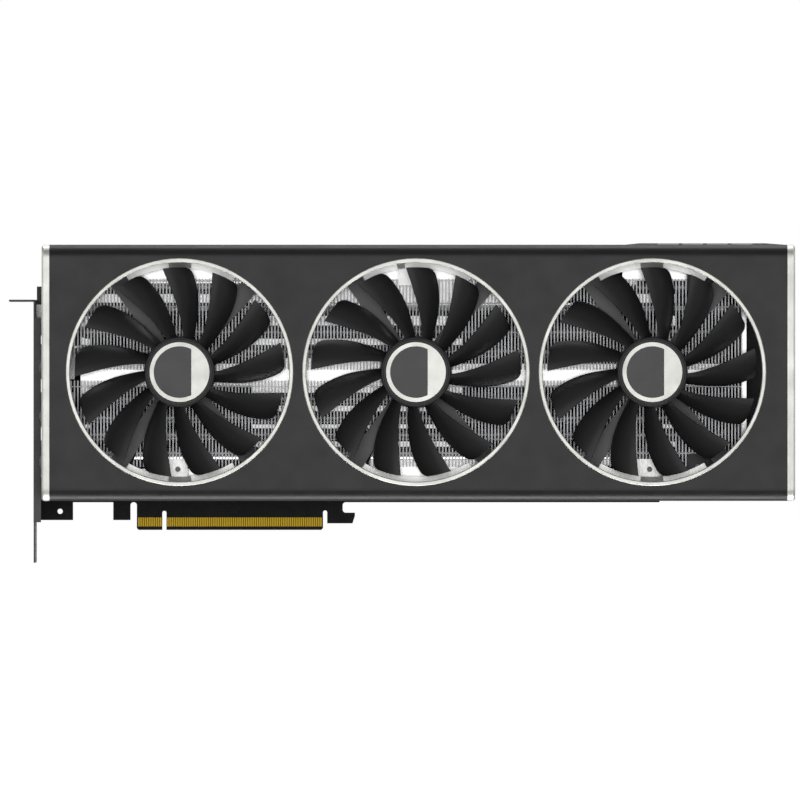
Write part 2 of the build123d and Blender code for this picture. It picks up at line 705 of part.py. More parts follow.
RAIL_Y = (-40.0, -8.0)
BAR_Y = (RAIL_Y[0], -14.0)
RAIL_TOP = 130.85
RAIL_RISE, RAIL_FALL = 6.6, 9.1
BAR_W, BAR_GAP = 9.4, 1.8
BAR_FIRST = 225.3


def top_rail():
    """The raised rail on the tail's top edge, sloped at both ends and cut through for the light bars."""
    points = [(RAIL_X[0], BODY_TOP), (RAIL_X[0] + RAIL_RISE, RAIL_TOP),
              (RAIL_X[1] - RAIL_FALL, RAIL_TOP), (RAIL_X[1], BODY_TOP)]
    rail = plate(points, RAIL_Y)
    for i in range(4):
        x = BAR_FIRST + i * (BAR_W + BAR_GAP)
        rail -= box((x, x + BAR_W), (BAR_Y[0] - 1, BAR_Y[1]), (BODY_TOP - 1, RAIL_TOP + 1))
    return rail


def light_bars():
    """Four plain frosted bars set flush in the rail, up to its front."""
    bars = []
    for i in range(4):
        x = BAR_FIRST + i * (BAR_W + BAR_GAP)
        bar = box((x, x + BAR_W), BAR_Y, (BODY_TOP, RAIL_TOP))
        bars.append(fillet(bar.edges().filter_by(Axis.Y).sort_by(Axis.Z)[-2:], 0.2))
    return group("light_bars", bars)


def backplate():
    """Flat plate over the board's rear, with a window at the chip and vents above the board's left."""
    sheet = box((BODY_LEFT + 1.0, BODY_RIGHT - 0.5), BACK_Y, (BODY_BOTTOM, BODY_TOP))
    sheet = chamfer(sheet.edges().filter_by(Axis.Y), 2.0)
    through = (BACK_Y[0] - 1, BACK_Y[1] + 1)
    half = SPRING_OFFSET + 6.5
    window = box((CHIP[0] - half, CHIP[0] + half), through, (CHIP[1] - half, CHIP[1] + half))
    sheet -= chamfer(window.edges().filter_by(Axis.Y), 6.0)
    for i in range(10):
        x = -28.0 + 7.5 * i
        sheet -= box((x - 1.6, x + 1.6), through, (96.0, 118.0))
    for x, z in BOARD_HOLES:
        start = BOARD_T / 2 + (SHEET if x < 0 else 0)
        sheet += rod(x, z, 2.8, (start, BACK_Y[0] + 0.2))
    for x, z in BOARD_HOLES:
        sheet -= rod(x, z, 1.2, (0, BACK_Y[1] + 1))
    for x, z in TAIL_SCREWS:
        sheet -= rod(x, z, 1.2, through)
        sheet -= rod(x, z, 2.2, (BACK_Y[0] + 0.5, BACK_Y[1] + 1))
    return sheet


def board_screws():
    """Screws from the component side through the board into the backplate's bosses."""
    return group("board_screws", [
        pan_screw(x, z, BOARD_FACE - 1.3, 1, head_r=2.3, head_h=1.3, shank_r=1.2, length=5.0)
        for x, z in BOARD_HOLES])


def tail_screws():
    """Screws sunk in the backplate's tail and driven into the shroud's bosses."""
    return group("tail_screws", [
        pan_screw(x, z, BACK_Y[1] - 0.1, -1, head_r=2.0, head_h=1.0, shank_r=1.1, length=5.0)
        for x, z in TAIL_SCREWS])


# ---- slot bracket -------------------------------------------------------------------------------
TAB_REACH = 11.2
LUGS = ((14.6, 24.6), (96.0, 111.4))
SLOT_Y = (-27.0, -4.4)
TONGUE_W = 10.2


def io_bracket():
    left, right = BRACKET_X, BRACKET_X + SHEET
    sheet = box((left, right), (BRACKET_FRONT, BRACKET_REAR), (BRACKET_SHOULDER, BRACKET_TOP))
    for y in SLOT_Y:
        sheet += box((left, right), (y - TONGUE_W / 2, y + TONGUE_W / 2), (BRACKET_FOOT, 6.0))
    sheet += box((left - TAB_REACH, right), (BRACKET_FRONT, BRACKET_REAR), (BRACKET_TOP - SHEET, BRACKET_TOP))
    sheet += box((left, left + 3.4), (BRACKET_FRONT, BRACKET_FRONT + SHEET), (BRACKET_SHOULDER, 97.0))
    for low, high in LUGS:
        sheet += box((left, BOARD_LEFT + 11), (BOARD_T / 2, BOARD_T / 2 + SHEET), (low, high)) \
            - box((left - 1, right), (-1, 4), (BRACKET_TOP, 130))
    for y in SLOT_Y:
        through = (BRACKET_TOP - 2, BRACKET_TOP + 1)
        sheet -= box((left - TAB_REACH - 1, left - 6.0), (y - 2.2, y + 2.2), through)
        sheet -= rod_z(left - 6.0, y, 2.2, through)
    for x, z in BOARD_HOLES:
        if x < 0:
            sheet -= rod(x, z, 1.6, (0, 3))
    ports = [(z, VIDEO_PORT) for z in VIDEO_PORT_Z] + [(WIDE_PORT_Z, WIDE_PORT)]
    for z, size in ports:
        sheet -= extrude_x(port_profile(z, size, -0.25), (left - 1, right + 1))
    for row in range(7):
        z = 16.0 + 12.4 * row
        for y in (-31.0, -26.0, -21.0, -16.0):
            slot = box((left - 1, right + 1), (y - 1.5, y + 1.5), (z - 4.6, z + 4.6))
            sheet -= fillet(slot.edges().filter_by(Axis.X), 1.4)
    for z in (31.3, 52.3, 74.9):
        sheet -= box((left + 2.4, left + 4), (BRACKET_FRONT - 1, BRACKET_FRONT + 2), (z - 2.6, z + 2.6))
    return sheet


# ---- leads --------------------------------------------------------------------------------------
CHANNEL_Y = -29.0


def lead(index):
    """One fan's lead: behind the lower left strut, down or along the casing's foot, and up to the header."""
    x0 = FAN_X[index]
    turn = math.radians(STRUT_ANGLES[2])
    ca, sa = math.cos(turn), math.sin(turn)
    low = 18.6 + 1.55 * index
    end_x = HEADER_X - 2.4 + 2.4 * index
    y = BASE_Y[1] + LEAD_R + 0.05
    points = [(x0 + 13.0 * ca, y, FAN_Z + 13.0 * sa), (x0 + 30.0 * ca, CHANNEL_Y, FAN_Z + 30.0 * sa)]
    if x0 < HEADER_X:
        points += [(x0 - 22.5, CHANNEL_Y, 30.0), (x0 - 14.0, CHANNEL_Y, low), (end_x - 6.0, CHANNEL_Y, low)]
    else:
        points.append((end_x, CHANNEL_Y, low))
    points += [(end_x, -22.0, 22.0), (end_x, -16.0, HEADER_Z), (end_x, -9.4, HEADER_Z)]
    radii = [3.0] * (len(points) - 2)
    path = FilletPolyline(*points, radius=radii)
    section = Plane(origin=path @ 0, z_dir=path % 0) * Circle(LEAD_R)
    return sweep(section, path=path)


def fan_leads():
    return group("fan_leads", [lead(i) for i in range(3)])


def fan_plug():
    return box((HEADER_X - 4.8, HEADER_X + 4.8), (-9.4, BOARD_FACE - 1.3), (HEADER_Z - 1.7, HEADER_Z + 1.7))


# ---- output -------------------------------------------------------------------------------------
def nodes():
    """Every node's name and shape."""
    plain = [
        pcb, edge_contacts, gpu_package, gpu_die, memory_chips, thermal_pads, power_chokes, power_stages,
        capacitors, power_sockets, power_pins, video_ports, wide_video_port, port_tongues, fan_header,
        bios_switch_housing, bios_switch_slider, cold_plate, heatsink_frame, heat_pipes, fin_stack_upper,
        fin_stack_lower, retention_plate, retention_screws, retention_springs, fan_frames, fan_screws,
        bearing_sleeves, stators, fan_shroud, fan_rings, fan_braces, brace_pads, brace_screws, tail_braces,
        trim_left, trim_right, top_rail, light_bars, backplate, board_screws, tail_screws, io_bracket,
        fan_leads, fan_plug,
    ]
    for maker in plain:
        yield maker.__name__, maker()
    rotor = fan_rotor_shape()
    for number, (x, turn) in enumerate(zip(FAN_X, FAN_TURN), start=1):
        yield f"fan_{number}_rotor", Pos(x, 0, FAN_Z) * Rot(0, turn, 0) * rotor
        yield f"fan_{number}_badge", hub_badge(x)
        yield f"fan_{number}_disc", hub_disc(x)
        yield f"fan_{number}_magnet", magnet(x)
        yield f"fan_{number}_shaft", shaft(x)


def main():
    os.makedirs("parts", exist_ok=True)
    for name, shape in nodes():
        export_step(shape, os.path.join("parts", name + ".step"))


main()
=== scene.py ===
import json
import math
import random

import bmesh
import bpy
from mathutils import Matrix, Vector


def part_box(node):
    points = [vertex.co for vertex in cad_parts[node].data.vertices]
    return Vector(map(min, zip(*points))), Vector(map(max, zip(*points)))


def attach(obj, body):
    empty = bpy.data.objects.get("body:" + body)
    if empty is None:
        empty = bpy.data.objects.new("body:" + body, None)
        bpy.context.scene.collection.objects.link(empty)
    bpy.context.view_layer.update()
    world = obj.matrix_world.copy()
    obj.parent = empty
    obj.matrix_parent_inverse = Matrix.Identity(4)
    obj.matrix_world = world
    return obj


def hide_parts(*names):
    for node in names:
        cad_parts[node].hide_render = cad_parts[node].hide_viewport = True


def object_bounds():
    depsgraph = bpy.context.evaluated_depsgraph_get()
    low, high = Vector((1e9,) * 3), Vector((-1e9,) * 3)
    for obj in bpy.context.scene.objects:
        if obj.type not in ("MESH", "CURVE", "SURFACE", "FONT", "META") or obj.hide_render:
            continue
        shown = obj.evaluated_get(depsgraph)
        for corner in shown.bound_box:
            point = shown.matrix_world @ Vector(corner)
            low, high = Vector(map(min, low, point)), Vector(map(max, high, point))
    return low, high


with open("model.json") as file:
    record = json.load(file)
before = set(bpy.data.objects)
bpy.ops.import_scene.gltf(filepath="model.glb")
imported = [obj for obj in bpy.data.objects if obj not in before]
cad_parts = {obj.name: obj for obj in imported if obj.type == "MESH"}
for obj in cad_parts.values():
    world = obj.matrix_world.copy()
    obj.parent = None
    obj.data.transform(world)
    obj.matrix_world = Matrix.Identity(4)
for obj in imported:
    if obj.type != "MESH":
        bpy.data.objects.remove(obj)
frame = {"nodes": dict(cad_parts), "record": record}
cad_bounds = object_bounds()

MM = 0.001
NODES = frame["nodes"]
RECORD = frame["record"]


# ---- places read from the frame ----------------------------------------------------------------
def middle(node):
    """The centre of a node's box."""
    low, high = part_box(node)
    return (low + high) / 2


FANS = [middle(f"fan_{i}_shaft") for i in (1, 2, 3)]
TIP_R = (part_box("fan_1_rotor")[1].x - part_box("fan_1_rotor")[0].x) / 2


# ---- shader helpers ----------------------------------------------------------------------------
class Shader:
    """A node tree under construction, with short ways to add and join nodes."""

    def __init__(self, name):
        self.material = bpy.data.materials.new(name)
        self.material.use_nodes = True
        self.tree = self.material.node_tree
        self.bsdf = next(n for n in self.tree.nodes if n.type == "BSDF_PRINCIPLED")
        self.place = self.add("ShaderNodeTexCoord").outputs["Object"]

    def add(self, kind, **values):
        node = self.tree.nodes.new(kind)
        for key, value in values.items():
            if hasattr(node, key):
                setattr(node, key, value)
            else:
                node.inputs[key.replace("_", " ")].default_value = value
        return node

    def join(self, output, node, socket):
        self.tree.links.new(output, node.inputs[socket])

    def noise(self, size, detail=3.0, roughness=0.55, stretch=None):
        """Noise whose blobs are about size metres across, stretched along an axis if asked."""
        node = self.add("ShaderNodeTexNoise", Scale=1.0 / size, Detail=detail, Roughness=roughness)
        source = self.place
        if stretch:
            scale = self.add("ShaderNodeMapping")
            scale.inputs["Scale"].default_value = stretch
            self.join(source, scale, "Vector")
            source = scale.outputs["Vector"]
        self.join(source, node, "Vector")
        return node.outputs["Fac"]

    def spread(self, value, low, high, start=0.3, end=0.7):
        """A 0 to 1 value spread over low to high."""
        node = self.add("ShaderNodeMapRange")
        node.inputs["From Min"].default_value = start
        node.inputs["From Max"].default_value = end
        node.inputs["To Min"].default_value = low
        node.inputs["To Max"].default_value = high
        self.join(value, node, "Value")
        return node.outputs["Result"]

    def mix(self, factor, first, second, blend="MIX"):
        """A colour between two colours or colour outputs."""
        node = self.add("ShaderNodeMix", data_type="RGBA", blend_type=blend)
        self.join_or_set(factor, node, 0)
        self.join_or_set(first, node, 6)
        self.join_or_set(second, node, 7)
        return node.outputs[2]

    def join_or_set(self, value, node, socket):
        if isinstance(value, bpy.types.NodeSocket):
            self.join(value, node, socket)
        elif isinstance(value, (tuple, list)):
            node.inputs[socket].default_value = (*value[:3], 1.0)
        else:
            node.inputs[socket].default_value = value

    def math(self, kind, first, second=0.0):
        node = self.add("ShaderNodeMath", operation=kind)
        self.join_or_set(first, node, 0)
        self.join_or_set(second, node, 1)
        return node.outputs[0]

    def edges(self, radius):
        """1 on edges sharper than the given radius and 0 on flats."""
        bevel = self.add("ShaderNodeBevel", samples=4)
        bevel.inputs["Radius"].default_value = radius
        normal = self.add("ShaderNodeNewGeometry").outputs["Normal"]
        dot = self.add("ShaderNodeVectorMath", operation="DOT_PRODUCT")
        self.join(bevel.outputs["Normal"], dot, 0)
        self.join(normal, dot, 1)
        return self.spread(dot.outputs["Value"], 1.0, 0.0, 0.75, 0.985)

    def bump(self, height, depth):
        node = self.add("ShaderNodeBump", Strength=1.0, Distance=depth)
        self.join(height, node, "Height")
        previous = self.bsdf.inputs["Normal"]
        if previous.is_linked:
            self.join(previous.links[0].from_socket, node, "Normal")
        self.join(node.outputs["Normal"], self.bsdf, "Normal")

    def set(self, **values):
        for key, value in values.items():
            self.join_or_set(value, self.bsdf, key.replace("_", " "))


def tinted(colour, gain):
    """The colour made lighter or darker by a gain."""
    return tuple(min(1.0, c * gain) for c in colour[:3])


def moulded(name, colour, rough, grain=0.00035, depth=0.00002, worn=None, gloss=0.5):
    """Moulded plastic with a fine even grain, faint cloudiness and rubbed edges."""
    s = Shader(name)
    cloud = s.spread(s.noise(0.045), 0.0, 1.0)
    fine = s.noise(grain, detail=2.0)
    base = s.mix(cloud, tinted(colour, 0.93), tinted(colour, 1.07))
    base = s.mix(s.spread(fine, 0.0, 0.22), base, tinted(colour, 1.5))
    if worn:
        rub = s.math("MULTIPLY", s.edges(0.0005), s.spread(s.noise(0.006), 0.0, worn, 0.4, 0.75))
        base = s.mix(rub, base, tinted(colour, 2.6))
    s.set(Base_Color=base, Roughness=s.spread(s.noise(0.012), rough - 0.05, rough + 0.06),
          Specular_IOR_Level=gloss)
    s.bump(fine, depth)
    return s.material


def painted(name, colour, rough=0.42, metallic=0.0, worn=0.35):
    """Sprayed metal: orange peel, metal flake in the colour and edges worn towards bare metal."""
    speck, bare = 0.0004, (0.5, 0.5, 0.5)
    s = Shader(name)
    cloud = s.spread(s.noise(0.03), 0.0, 1.0)
    base = s.mix(cloud, tinted(colour, 0.95), tinted(colour, 1.04))
    flake = s.spread(s.noise(speck, detail=1.0), 0.0, 0.18, 0.45, 0.8)
    base = s.mix(flake, base, tinted(colour, 1.3))
    rub = s.math("MULTIPLY", s.edges(0.0004), s.spread(s.noise(0.004), 0.0, worn, 0.45, 0.8))
    base = s.mix(rub, base, bare)
    s.set(Base_Color=base, Metallic=metallic,
          Roughness=s.spread(s.noise(0.009), rough - 0.05, rough + 0.07))
    s.bump(s.noise(speck * 2.2, detail=2.0), 0.00001)
    return s.material


def sheet_metal(name, colour, rough, stretch, scratch=0.0009, depth=0.000006, streaks=0.3):
    """Rolled or plated metal: streaks along one axis, faint stains and fine scratches."""
    s = Shader(name)
    streak = s.noise(scratch, detail=4.0, stretch=stretch)
    stain = s.spread(s.noise(0.018), 0.0, 1.0)
    base = s.mix(stain, tinted(colour, 0.92), tinted(colour, 1.05))
    base = s.mix(s.spread(streak, 0.0, streaks), base, tinted(colour, 0.8))
    s.set(Base_Color=base, Metallic=1.0,
          Roughness=s.spread(streak, rough - 0.3 * streaks, rough + 0.4 * streaks))
    s.bump(streak, depth)
    return s.material


def plated(name, colour, rough):
    """Nickel over copper, almost free of streaks."""
    return sheet_metal(name, colour, rough, stretch=(1, 4, 4), scratch=0.003, depth=0.0000002,
                       streaks=0.08)


def laminate(name, colour):
    """Solder mask over traces: fine routed lines in two directions and via dots."""
    s = Shader(name)
    weave = s.add("ShaderNodeTexBrick", Scale=1.0)
    weave.inputs["Brick Width"].default_value = 0.0032
    weave.inputs["Row Height"].default_value = 0.0008
    weave.inputs["Mortar Size"].default_value = 0.00016
    turn = s.add("ShaderNodeMapping")
    turn.inputs["Rotation"].default_value = (math.radians(90), 0, 0)
    s.join(s.place, turn, "Vector")
    s.join(turn.outputs["Vector"], weave, "Vector")
    lines = weave.outputs["Fac"]
    dots = s.add("ShaderNodeTexVoronoi", Scale=420.0)
    s.join(s.place, dots, "Vector")
    via = s.spread(dots.outputs["Distance"], 1.0, 0.0, 0.10, 0.16)
    base = s.mix(s.math("MULTIPLY", lines, 0.5), colour, tinted(colour, 1.9))
    base = s.mix(s.math("MULTIPLY", via, 0.5), base, tinted(colour, 3.0))
    s.set(Base_Color=base, Roughness=s.spread(s.noise(0.004), 0.28, 0.42), Specular_IOR_Level=0.1)
    s.bump(s.math("ADD", lines, via), 0.00002)
    return s.material


def rubber_skin(name, colour):
    """Rubber or a soft pad: matt, finely pitted and unevenly toned."""
    s = Shader(name)
    fine = s.noise(0.0002, detail=2.0)
    base = s.mix(s.spread(s.noise(0.01), 0.0, 1.0), tinted(colour, 0.85), tinted(colour, 1.15))
    s.set(Base_Color=base, Roughness=s.spread(fine, 0.6, 0.8))
    s.bump(fine, 0.00001)
    return s.material


def wound_wire(name, colour):
    """Enamelled copper wire laid turn on turn."""
    s = Shader(name)
    wave = s.add("ShaderNodeTexWave", Scale=900.0, Distortion=0.4)
    s.join(s.place, wave, "Vector")
    base = s.mix(wave.outputs["Fac"], tinted(colour, 0.5), tinted(colour, 1.2))
    s.set(Base_Color=base, Metallic=0.9, Roughness=s.spread(s.noise(0.003), 0.25, 0.4))
    s.bump(wave.outputs["Fac"], 0.00008)
    return s.material


def frosted(name, colour):
    """Frosted light guide, unlit: milky, with a thin glossy coat."""
    s = Shader(name)
    fine = s.noise(0.0003, detail=2.0)
    base = s.mix(s.spread(s.noise(0.008), 0.0, 1.0), tinted(colour, 0.94), tinted(colour, 1.03))
    s.set(Base_Color=base, Roughness=s.spread(fine, 0.3, 0.45), Coat_Weight=0.2)
    s.bump(fine, 0.00001)
    return s.material


def gold_plate(name, colour):
    """Hard gold with tiny insertion scratches along the contact."""
    s = Shader(name)
    streak = s.noise(0.0005, detail=3.0, stretch=(6, 6, 1))
    base = s.mix(s.spread(streak, 0.0, 1.0), tinted(colour, 0.8), tinted(colour, 1.12))
    s.set(Base_Color=base, Metallic=0.85, Roughness=s.spread(streak, 0.28, 0.42))
    s.bump(streak, 0.000004)
    return s.material


SHROUD = (0.022, 0.022, 0.022)
BLADE = (0.031, 0.031, 0.0315)
SILVER = (0.94, 0.94, 0.89)


def make_materials():
    """One material for each material slot of the record, and a rougher nickel for the pipes whose
    darker colour is painted shade.
    """
    return {
        "shroud_plastic": moulded("shroud_plastic", SHROUD, 0.36, worn=0.25, gloss=0.45),
        "trim_silver": painted("trim_silver", SILVER, 0.46, metallic=0.85, worn=0.1),
        "blade_plastic": moulded("blade_plastic", BLADE, 0.42, grain=0.0005, depth=0.00001),
        "disc_grey": moulded("disc_grey", (0.13, 0.13, 0.13), 0.5, grain=0.0003),
        "magnet_ferrite": moulded("magnet_ferrite", (0.05, 0.05, 0.055), 0.7, grain=0.0006),
        "polished_steel": sheet_metal("polished_steel", (0.62, 0.62, 0.61), 0.25,
                                      stretch=(12, 1, 1)),
        "board_black": laminate("board_black", (0.010, 0.0105, 0.011)),
        "contact_gold": gold_plate("contact_gold", (0.47, 0.305, 0.015)),
        "package_green": laminate("package_green", (0.02, 0.06, 0.03)),
        "die_silicon": painted("die_silicon", (0.10, 0.10, 0.12), 0.12, worn=0.0),
        "chip_black": moulded("chip_black", (0.018, 0.018, 0.018), 0.6),
        "choke_grey": moulded("choke_grey", (0.09, 0.09, 0.09), 0.65, grain=0.0005, depth=0.00004),
        "capacitor_can": sheet_metal("capacitor_can", (0.66, 0.66, 0.68), 0.28, stretch=(1, 10, 1)),
        "pad_grey": rubber_skin("pad_grey", (0.33, 0.34, 0.38)),
        "socket_black": moulded("socket_black", (0.014, 0.014, 0.014), 0.45),
        "switch_white": moulded("switch_white", (0.74, 0.73, 0.70), 0.4),
        "nickel_plate": plated("nickel_plate", (0.97, 0.965, 0.955), 0.15),
        # The pipes' nickel is the plate's plating made rougher, and darker in colour as painted
        # shade: a shaded copy of the same nickel.
        "shaded_nickel_pipe": plated("shaded_nickel_pipe", (0.80, 0.80, 0.79), 0.38),
        "brace_satin": sheet_metal("brace_satin", (0.92, 0.92, 0.90), 0.34, stretch=(4, 1, 1),
                                   scratch=0.002, depth=0.000001, streaks=0.15),
        "frame_grey": moulded("frame_grey", (0.15, 0.15, 0.15), 0.42, worn=0.1),
        "buffer_rubber": rubber_skin("buffer_rubber", (0.80, 0.80, 0.79)),
        # Base colour darkened well below bare aluminium: painted shade standing in for the shade
        # between the fins.
        "fin_aluminium": sheet_metal("fin_aluminium", (0.52, 0.525, 0.54), 0.34,
                                     stretch=(1, 1, 10)),
        "screw_steel": sheet_metal("screw_steel", (0.20, 0.20, 0.205), 0.4, stretch=(4, 1, 4)),
        "spring_steel": sheet_metal("spring_steel", (0.42, 0.42, 0.43), 0.35, stretch=(1, 1, 8)),
        "sleeve_brass": sheet_metal("sleeve_brass", (0.60, 0.45, 0.20), 0.3, stretch=(1, 8, 1)),
        "winding_copper": wound_wire("winding_copper", (0.60, 0.25, 0.10)),
        "backplate_black": painted("backplate_black", (0.022, 0.022, 0.023), 0.38, metallic=0.3,
                                   worn=0.5),
        "bracket_black": painted("bracket_black", (0.10, 0.10, 0.102), 0.45, worn=0.3),
        "light_frosted": frosted("light_frosted", (0.82, 0.82, 0.82)),
        "lead_black": rubber_skin("lead_black", (0.015, 0.015, 0.015)),
    }


def dress_cad(materials):
    """Gives every CAD node its slot's material, and the pipes the rougher nickel, darkened as
    painted shade.
    """
    slots = {part["node"]: part["material_slot"] for part in RECORD["subparts"]}
    slots["heat_pipes"] = "shaded_nickel_pipe"
    for name, node in NODES.items():
        node.data.materials.clear()
        node.data.materials.append(materials[slots[name]])


# ---- mesh helpers ------------------------------------------------------------------------------
def new_piece(name, verts, faces, material, body, smooth_angle=40.0):
    """A mesh piece in the row frame, riding on a body."""
    mesh = bpy.data.meshes.new(name)
    mesh.from_pydata(verts, [], faces)
    mesh.validate()
    mesh.update()
    piece = bpy.data.objects.new(name, mesh)
    bpy.context.scene.collection.objects.link(piece)
    mesh.materials.append(material)
    if smooth_angle:
        mesh.shade_smooth()
        mesh.set_sharp_from_angle(angle=math.radians(smooth_angle))
    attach(piece, body)
    return piece


# ---- fan rotors, in millimetres until they are placed ------------------------------------------
BLADES = 13
BLADE_ROWS = 22
SECTION_POINTS = 9
TURNS = (-1.3, 2.6, 1.8)
BLADE_FRONT, BLADE_BACK = -49.0, -36.5
ROOT_R, BLADE_SPAN = 15.0, 32.6
ROOT_ANGLE, SWEEP = 15.8, 16.1
WIDEST, WIDEST_R, TAPER, TAPER_R = 18.3, 33.0, 3.5, 16.0
TIP_CORNER = 2.8
CAMBER = 0.16
THIN_SHARE, THIN_START = 0.25, 0.35
HUB_START_R = 15.2
TIP_GAP = 0.02
ROW_CROWDING = 1.35
HUB_SEGMENTS = 96
# radius and depth of the hub's outline: bore wall, rim, rounded front lip and the seat of the disc
HUB_PROFILE = [
    (3.4, -47.4), (3.4, -48.6), (14.4, -48.6), (14.4, -36.6), (15.9, -36.6), (15.9, -49.3),
    (15.75, -49.75), (15.45, -49.95), (15.05, -49.95), (14.9, -50.1), (14.75, -50.35),
    (14.4, -50.4), (13.85, -50.4), (13.7, -50.3), (13.7, -49.7), (1.5, -49.7), (1.5, -47.4),
]


def blade_centre(r):
    """The angle of the blade's middle at radius r, in degrees clockwise from its tip."""
    return ROOT_ANGLE - SWEEP * (r - ROOT_R) / BLADE_SPAN


def blade_width(r):
    """The angle the blade spans at radius r, in degrees."""
    return WIDEST - TAPER * ((r - WIDEST_R) / TAPER_R) ** 2


def blade_ring(r, mid_y):
    """One closed section of the blade at radius r, leading edge first."""
    width = math.radians(blade_width(r))
    centre = math.radians(blade_centre(r))
    reach = (r - ROOT_R) / BLADE_SPAN
    depth = 5.6 - 1.7 * reach
    thick = 0.95 - 0.35 * reach
    half = r * width / 2
    chord = math.hypot(half, depth)
    tip = TIP_R / MM
    cut = 0.0
    if r > tip - TIP_CORNER:
        cut = TIP_CORNER - math.sqrt(max(0.0, TIP_CORNER ** 2 - (r - tip + TIP_CORNER) ** 2))
    end = 1.0 - cut / half
    steps = [-1 + (1 + end) * i / (SECTION_POINTS - 1) for i in range(SECTION_POINTS)]
    front, back = [], []
    for t in steps:
        bulge = CAMBER * chord * (1 - t * t)
        local = thick * math.sqrt(max(0.0, 1 - (abs(t) ** 3.0) * 0.92))
        fade = 1.0
        if t > end - THIN_SHARE:
            left = math.sqrt(max(0.0, (end - t) / THIN_SHARE))
            fade = min(1.0, THIN_START + (1 - THIN_START) * left)
        for side, rim in ((1, front), (-1, back)):
            n = bulge + side * local * fade
            u = t * half + n * depth / chord
            v = t * depth - n * half / chord
            angle = centre + u / r
            rim.append(Vector((r * math.sin(angle), mid_y + v, r * math.cos(angle))))
    return front + back[::-1]


def rotor_mesh(turn):
    """Vertices and faces of a whole rotor about the Y axis."""
    verts, faces = [], []
    mid_y = (BLADE_FRONT + BLADE_BACK) / 2
    tip = TIP_R / MM - TIP_GAP
    shares = [1 - (1 - i / (BLADE_ROWS - 1)) ** ROW_CROWDING for i in range(BLADE_ROWS)]
    rings = [blade_ring(HUB_START_R + (tip - HUB_START_R) * share, mid_y) for share in shares]
    count = len(rings[0])
    for k in range(BLADES):
        spin = Matrix.Rotation(math.radians(360.0 / BLADES * k + turn), 3, "Y")
        start = len(verts)
        for ring in rings:
            verts += [spin @ p for p in ring]
        for row in range(len(rings) - 1):
            for i in range(count):
                a = start + row * count + i
                b = start + row * count + (i + 1) % count
                faces.append((a, b, b + count, a + count))
        last = start + (len(rings) - 1) * count
        half = count // 2
        for i in range(half - 1):
            faces.append((last + i, last + i + 1, last + count - 2 - i, last + count - 1 - i))
            faces.append((start + i + 1, start + i, start + count - 1 - i, start + count - 2 - i))
    start = len(verts)
    for r, y in HUB_PROFILE:
        for j in range(HUB_SEGMENTS):
            angle = 2 * math.pi * j / HUB_SEGMENTS
            verts.append(Vector((r * math.sin(angle), y, r * math.cos(angle))))
    for i in range(len(HUB_PROFILE)):
        this_row = start + i * HUB_SEGMENTS
        next_row = start + ((i + 1) % len(HUB_PROFILE)) * HUB_SEGMENTS
        for j in range(HUB_SEGMENTS):
            k = (j + 1) % HUB_SEGMENTS
            faces.append((this_row + j, this_row + k, next_row + k, next_row + j))
    return verts, faces


def make_rotors(materials):
    """A detailed impeller for each fan, in place of its CAD rotor."""
    for number, (centre, turn) in enumerate(zip(FANS, TURNS), start=1):
        verts, faces = rotor_mesh(turn)
        placed = [Vector((v.x * MM + centre.x, v.y * MM, v.z * MM + centre.z)) for v in verts]
        piece = new_piece(f"fan_{number}_impeller", placed, faces, materials["blade_plastic"],
                          f"fan_{number}", smooth_angle=35.0)
        fix_normals(piece)
        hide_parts(f"fan_{number}_rotor")


def fix_normals(piece):
    """Turns every face of the piece outwards."""
    work = bmesh.new()
    work.from_mesh(piece.data)
    bmesh.ops.recalc_face_normals(work, faces=work.faces)
    work.to_mesh(piece.data)
    work.free()


# ---- fins --------------------------------------------------------------------------------------
def slab(verts, faces, x, y, z):
    """Adds a closed block between the two ends of each axis, in metres."""
    start = len(verts)
    verts += [Vector((x[i], y[j], z[k])) for i in (0, 1) for j in (0, 1) for k in (0, 1)]
    for quad in ((0, 1, 3, 2), (4, 6, 7, 5), (0, 4, 5, 1),
                 (2, 3, 7, 6), (0, 2, 6, 4), (1, 5, 7, 3)):
        faces.append(tuple(start + i for i in quad))


FIN_PITCH = 1.5 * MM
FIN_T = 0.32 * MM
HEM_W, HEM_D = 0.6 * MM, 0.35 * MM
SIDE_SCATTER, FRONT_SCATTER = 0.05 * MM, 0.12 * MM
OVERHANG = 0.31 * MM
REAR_GAP = 0.05 * MM
BREAK_H = 0.9 * MM
SHORTEST_HEM = 0.2 * MM
TAB_FRONT, TAB_BACK = 0.9 * MM, 1.2 * MM
TAB_HALF_H, TAB_GAP = 0.2 * MM, 0.1 * MM
UPPER_BREAKS = (0.69, 0.985)
LOWER_BREAKS = (0.16, 0.93)


def make_fins(materials, node, shares, seed):
    """Folded fins with a hemmed front edge, broken at shares of the height where tabs join."""
    low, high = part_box(node)
    chance = random.Random(seed)
    verts, faces = [], []
    count = int(round((high.x - low.x) / FIN_PITCH)) + 1
    breaks = [low.z + (high.z - low.z) * share for share in shares]
    hems = [low.z] + [z + side * BREAK_H / 2 for z in breaks for side in (-1, 1)] + [high.z]
    for i in range(count):
        x = low.x + i * FIN_PITCH + chance.uniform(-SIDE_SCATTER, SIDE_SCATTER)
        if x + HEM_W > high.x + OVERHANG:
            x = high.x - HEM_W
        front = low.y + chance.uniform(0.0, FRONT_SCATTER)
        slab(verts, faces, (x, x + FIN_T), (front + HEM_D, high.y - REAR_GAP), (low.z, high.z))
        for a, b in zip(hems[::2], hems[1::2]):
            if b - a > SHORTEST_HEM:
                slab(verts, faces, (x, x + HEM_W), (front, front + HEM_D), (a, b))
        for z in breaks:
            slab(verts, faces, (x + FIN_T, min(x + FIN_PITCH - TAB_GAP, high.x)),
                 (front + TAB_FRONT, front + TAB_BACK), (z - TAB_HALF_H, z + TAB_HALF_H))
    piece = new_piece(node + "_folded", verts, faces, materials["fin_aluminium"],
                      "card", smooth_angle=0)
    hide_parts(node)


# Width and thickness of the dark strips of painted shade behind the fin stacks' tail ends.
SHADE_STRIP_W, SHADE_STRIP_T = 7.4 * MM, 0.3 * MM


